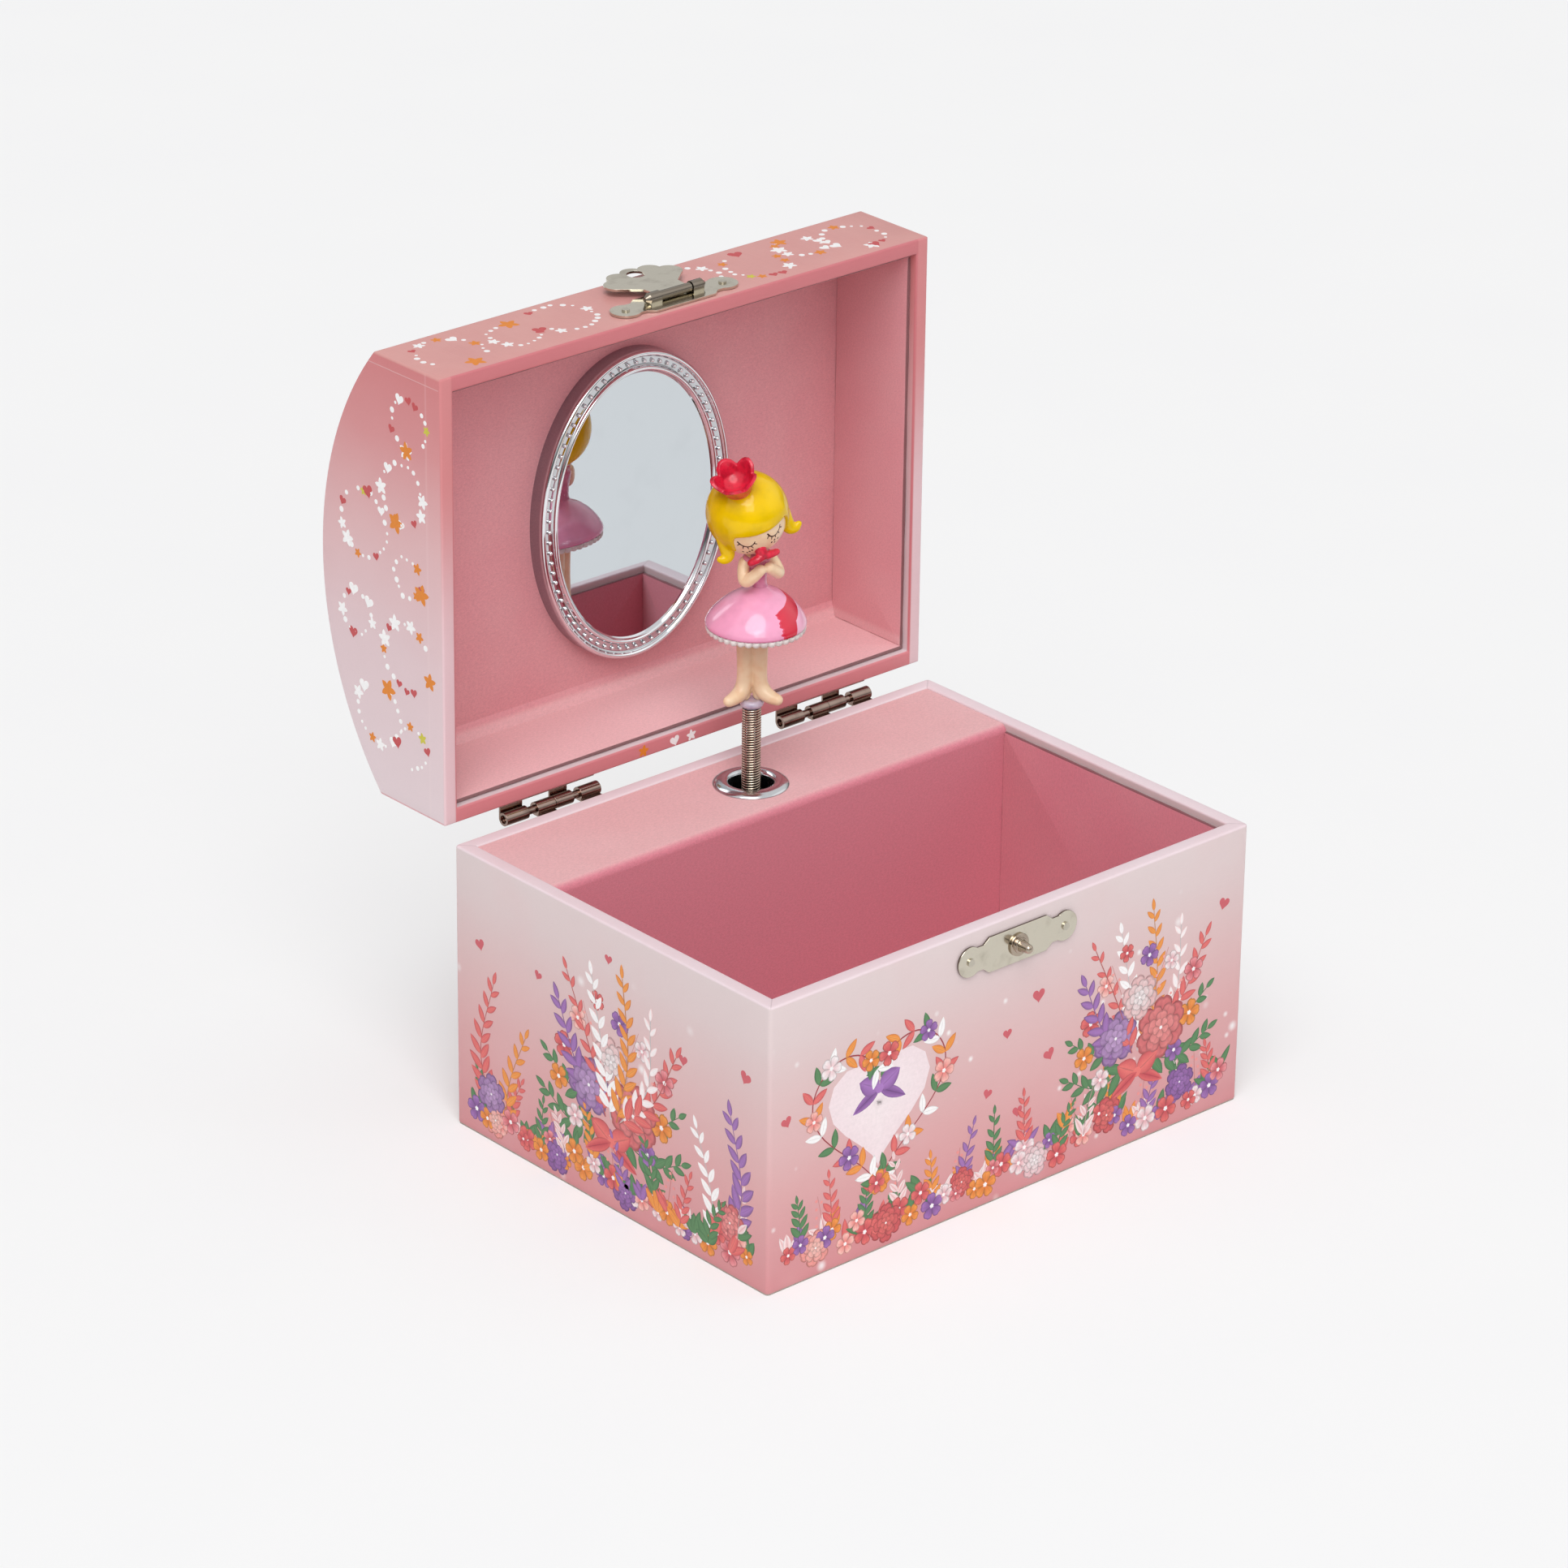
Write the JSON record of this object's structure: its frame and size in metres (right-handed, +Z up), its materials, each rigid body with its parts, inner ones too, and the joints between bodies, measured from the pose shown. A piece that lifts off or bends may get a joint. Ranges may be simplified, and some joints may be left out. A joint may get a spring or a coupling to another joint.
{
  "type": "ballerina jewellery box",
  "caption": "Paper-covered jewellery box with a vaulted lid, an oval mirror, flocked linings and a dancer on a spring, turned by a wind-up musical movement.",
  "frame": {"origin": "centre of the base's underside", "axes": "+X to the right along the front, +Y from the front towards the hinges, +Z up"},
  "size_m": [0.155, 0.17, 0.1967],
  "materials": {
    "board": "fibreboard, matt",
    "base_paper": "printed paper, satin, pale pink to rose",
    "lid_paper": "printed paper, satin, coral rose to pale pink",
    "flock": "flocked card, matt dusty rose",
    "stage_flock": "flocked card, matt light pink",
    "bright_steel": "polished",
    "gunmetal": "dark nickel, polished",
    "pale_nickel": "champagne nickel, satin",
    "steel": "satin",
    "spring_steel": "bright wire",
    "blue_steel": "blued spring steel",
    "brass": "satin",
    "cast_zinc": "cast, gold lacquer",
    "mirror_glass": "silvered glass",
    "chrome_plastic": "vacuum-plated, polished",
    "foam_pad": "double-sided foam pad",
    "skin_resin": "painted resin, satin",
    "pink_resin": "painted resin, gloss",
    "white_resin": "painted resin, satin",
    "yellow_resin": "painted resin, gloss",
    "red_resin": "painted resin, satin",
    "pearl_resin": "pearly lavender",
    "white_plastic": "moulded nylon"
  },
  "bodies": {
    "box": {"base_front_wall": "board", "base_back_wall": "board", "base_left_wall": "board", "base_right_wall": "board", "base_floor": "board", "base_wrap": "base_paper", "base_linings": "flock", "stage_top": "board", "stage_front": "board", "stage_cover": "stage_flock", "grommet": "bright_steel", "grommet_washer": "bright_steel", "left_base_leaf": "gunmetal", "right_base_leaf": "gunmetal", "hinge_pins": "gunmetal", "base_nails": "pale_nickel", "catch_plate": "pale_nickel", "catch_stud": "pale_nickel", "bedplate": "cast_zinc", "movement_bridge": "brass", "spindle_bracket": "steel", "movement_screws": "steel", "tune_comb": "steel", "governor_frame": "brass"},
    "lid": {"lid_front_wall": "board", "lid_back_wall": "board", "lid_left_end": "board", "lid_right_end": "board", "lid_vault": "board", "lid_ceiling": "flock", "lid_linings": "flock", "lid_wrap": "lid_paper", "lid_nails": "pale_nickel", "left_lid_leaf": "gunmetal", "right_lid_leaf": "gunmetal", "mirror_frame": "chrome_plastic", "mirror_glass": "mirror_glass", "mirror_pad": "foam_pad", "hasp_plate": "pale_nickel", "hasp_pin": "gunmetal"},
    "hasp": {"hasp_tongue": "pale_nickel"},
    "spring": {"figure_spring": "spring_steel"},
    "dancer": {"figure_peg": "pearl_resin", "figure_legs": "skin_resin", "figure_skirt": "pink_resin", "skirt_trim": "white_resin", "figure_torso": "skin_resin", "figure_head": "skin_resin", "figure_hair": "yellow_resin", "figure_crown": "red_resin", "figure_bow": "red_resin"},
    "spindle": {"spindle": "steel"},
    "drum": {"spring_drum": "brass", "drum_cover": "brass", "mainspring": "blue_steel"},
    "cylinder": {"tune_cylinder": "brass"},
    "governor": {"governor_wheel": "brass"},
    "fly": {"fly": "white_plastic"},
    "winding": {"winding_arbor": "steel", "winding_key": "pale_nickel"}
  },
  "joints": [
    {"name": "lid_hinge", "type": "hinge", "parent": "box", "child": "lid", "pos_m": [0, 0.0607, 0.07515], "axis": [1, 0, 0], "range_deg": [0, 90]},
    {"name": "hasp_hinge", "type": "hinge", "parent": "lid", "child": "hasp", "pos_m": [0, 0.06725, 0.19525], "axis": [1, 0, 0], "range_deg": [0, 180]},
    {"name": "dancer_fold", "type": "hinge", "parent": "box", "child": "spring", "pos_m": [0.001, 0.03875, 0.084], "axis": [1, 0, 0], "range_deg": [0, 90], "deforming": ["figure_spring"]},
    {"name": "dancer_spin", "type": "hinge", "parent": "spring", "child": "dancer", "pos_m": [0.001, 0.03875, 0.097], "axis": [0, 0, 1], "continuous": true},
    {"name": "spindle_spin", "type": "hinge", "parent": "box", "child": "spindle", "pos_m": [0.001, 0.03875, 0.055], "axis": [0, 0, 1], "continuous": true},
    {"name": "drum_spin", "type": "hinge", "parent": "box", "child": "drum", "pos_m": [0.001, 0.046, 0.038], "axis": [0, 1, 0], "continuous": true},
    {"name": "cylinder_spin", "type": "hinge", "parent": "box", "child": "cylinder", "pos_m": [0.025, 0.03625, 0.038], "axis": [1, 0, 0], "continuous": true},
    {"name": "governor_spin", "type": "hinge", "parent": "box", "child": "governor", "pos_m": [0.0415, 0.03625, 0.04664], "axis": [1, 0, 0], "continuous": true},
    {"name": "fly_spin", "type": "hinge", "parent": "box", "child": "fly", "pos_m": [0.04295, 0.036, 0.05134], "axis": [0, 1, 0], "continuous": true},
    {"name": "winding_key_turn", "type": "hinge", "parent": "box", "child": "winding", "pos_m": [0.001, 0.0555, 0.038], "axis": [0, 1, 0], "continuous": true}
  ],
  "couplings": [
    {"joint": "dancer_fold", "follows": "lid_hinge", "ratio": 1},
    {"joint": "dancer_spin", "follows": "drum_spin", "ratio": -3.6667},
    {"joint": "spindle_spin", "follows": "drum_spin", "ratio": -3.6667},
    {"joint": "cylinder_spin", "follows": "drum_spin", "ratio": -2},
    {"joint": "governor_spin", "follows": "drum_spin", "ratio": 6},
    {"joint": "fly_spin", "follows": "drum_spin", "ratio": 60}
  ]
}
